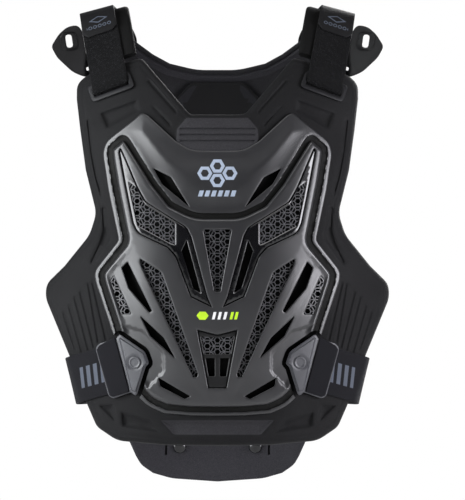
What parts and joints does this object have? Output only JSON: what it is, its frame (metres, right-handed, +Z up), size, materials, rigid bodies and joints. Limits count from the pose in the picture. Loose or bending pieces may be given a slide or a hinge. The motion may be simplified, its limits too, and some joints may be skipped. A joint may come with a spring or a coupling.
{
  "type": "roost deflector",
  "caption": "Motocross chest and back protector: foam pads under a vented moulded shell, joined over the shoulders and round the waist by webbing, shown as worn.",
  "frame": {"origin": "midway between the two shoulder pads, at the height where they rest on the wearer's shoulders", "axes": "+Z up along the wearer's trunk, +X towards the wearer's left, -Y out of the chest, as worn"},
  "size_m": [0.3712, 0.2688, 0.5183],
  "materials": {
    "foam": "matte charcoal moulded foam with a fine grain",
    "shell_plastic": "glossy smoke grey moulded plastic with a matte black channel",
    "vent_plastic": "black moulded mesh, partly glossy",
    "mesh_lining": "fine black spacer mesh",
    "black_plastic": "satin black moulded plastic",
    "buckle_plastic": "satin grey moulded plastic",
    "elastic_webbing": "dark woven elastic webbing with a plain grey print",
    "loop_webbing": "black hook-and-loop webbing with a brushed face",
    "label_webbing": "satin black patch with a plain grey-blue print",
    "snap_plastic": "glossy black domed rivet"
  },
  "bodies": {
    "root": {"chest_pad": "foam", "chest_shell": "shell_plastic", "centre_vent_mesh": "vent_plastic", "lower_vent_insert": "vent_plastic", "side_vent_insert_left": "vent_plastic", "side_vent_insert_right": "vent_plastic", "long_vent_mesh_left": "vent_plastic", "long_vent_mesh_right": "vent_plastic", "small_vent_mesh_left": "vent_plastic", "small_vent_mesh_right": "vent_plastic", "back_pad": "foam", "back_lining": "mesh_lining", "back_shell": "black_plastic", "buckle_left": "buckle_plastic", "buckle_right": "buckle_plastic", "buckle_button_left": "buckle_plastic", "buckle_button_right": "buckle_plastic", "side_strap_left": "elastic_webbing", "side_strap_right": "elastic_webbing", "front_strap_frame_left": "black_plastic", "front_strap_frame_right": "black_plastic", "rear_strap_frame_left": "black_plastic", "rear_strap_frame_right": "black_plastic", "shoulder_strap_left": "loop_webbing", "shoulder_strap_right": "loop_webbing", "strap_tab_left": "label_webbing", "strap_tab_right": "label_webbing", "shoulder_pad_left": "foam", "shoulder_pad_right": "foam", "shoulder_wing_left": "black_plastic", "shoulder_wing_right": "black_plastic", "tail_snap_left": "snap_plastic", "tail_snap_right": "snap_plastic"}
  },
  "joints": []
}
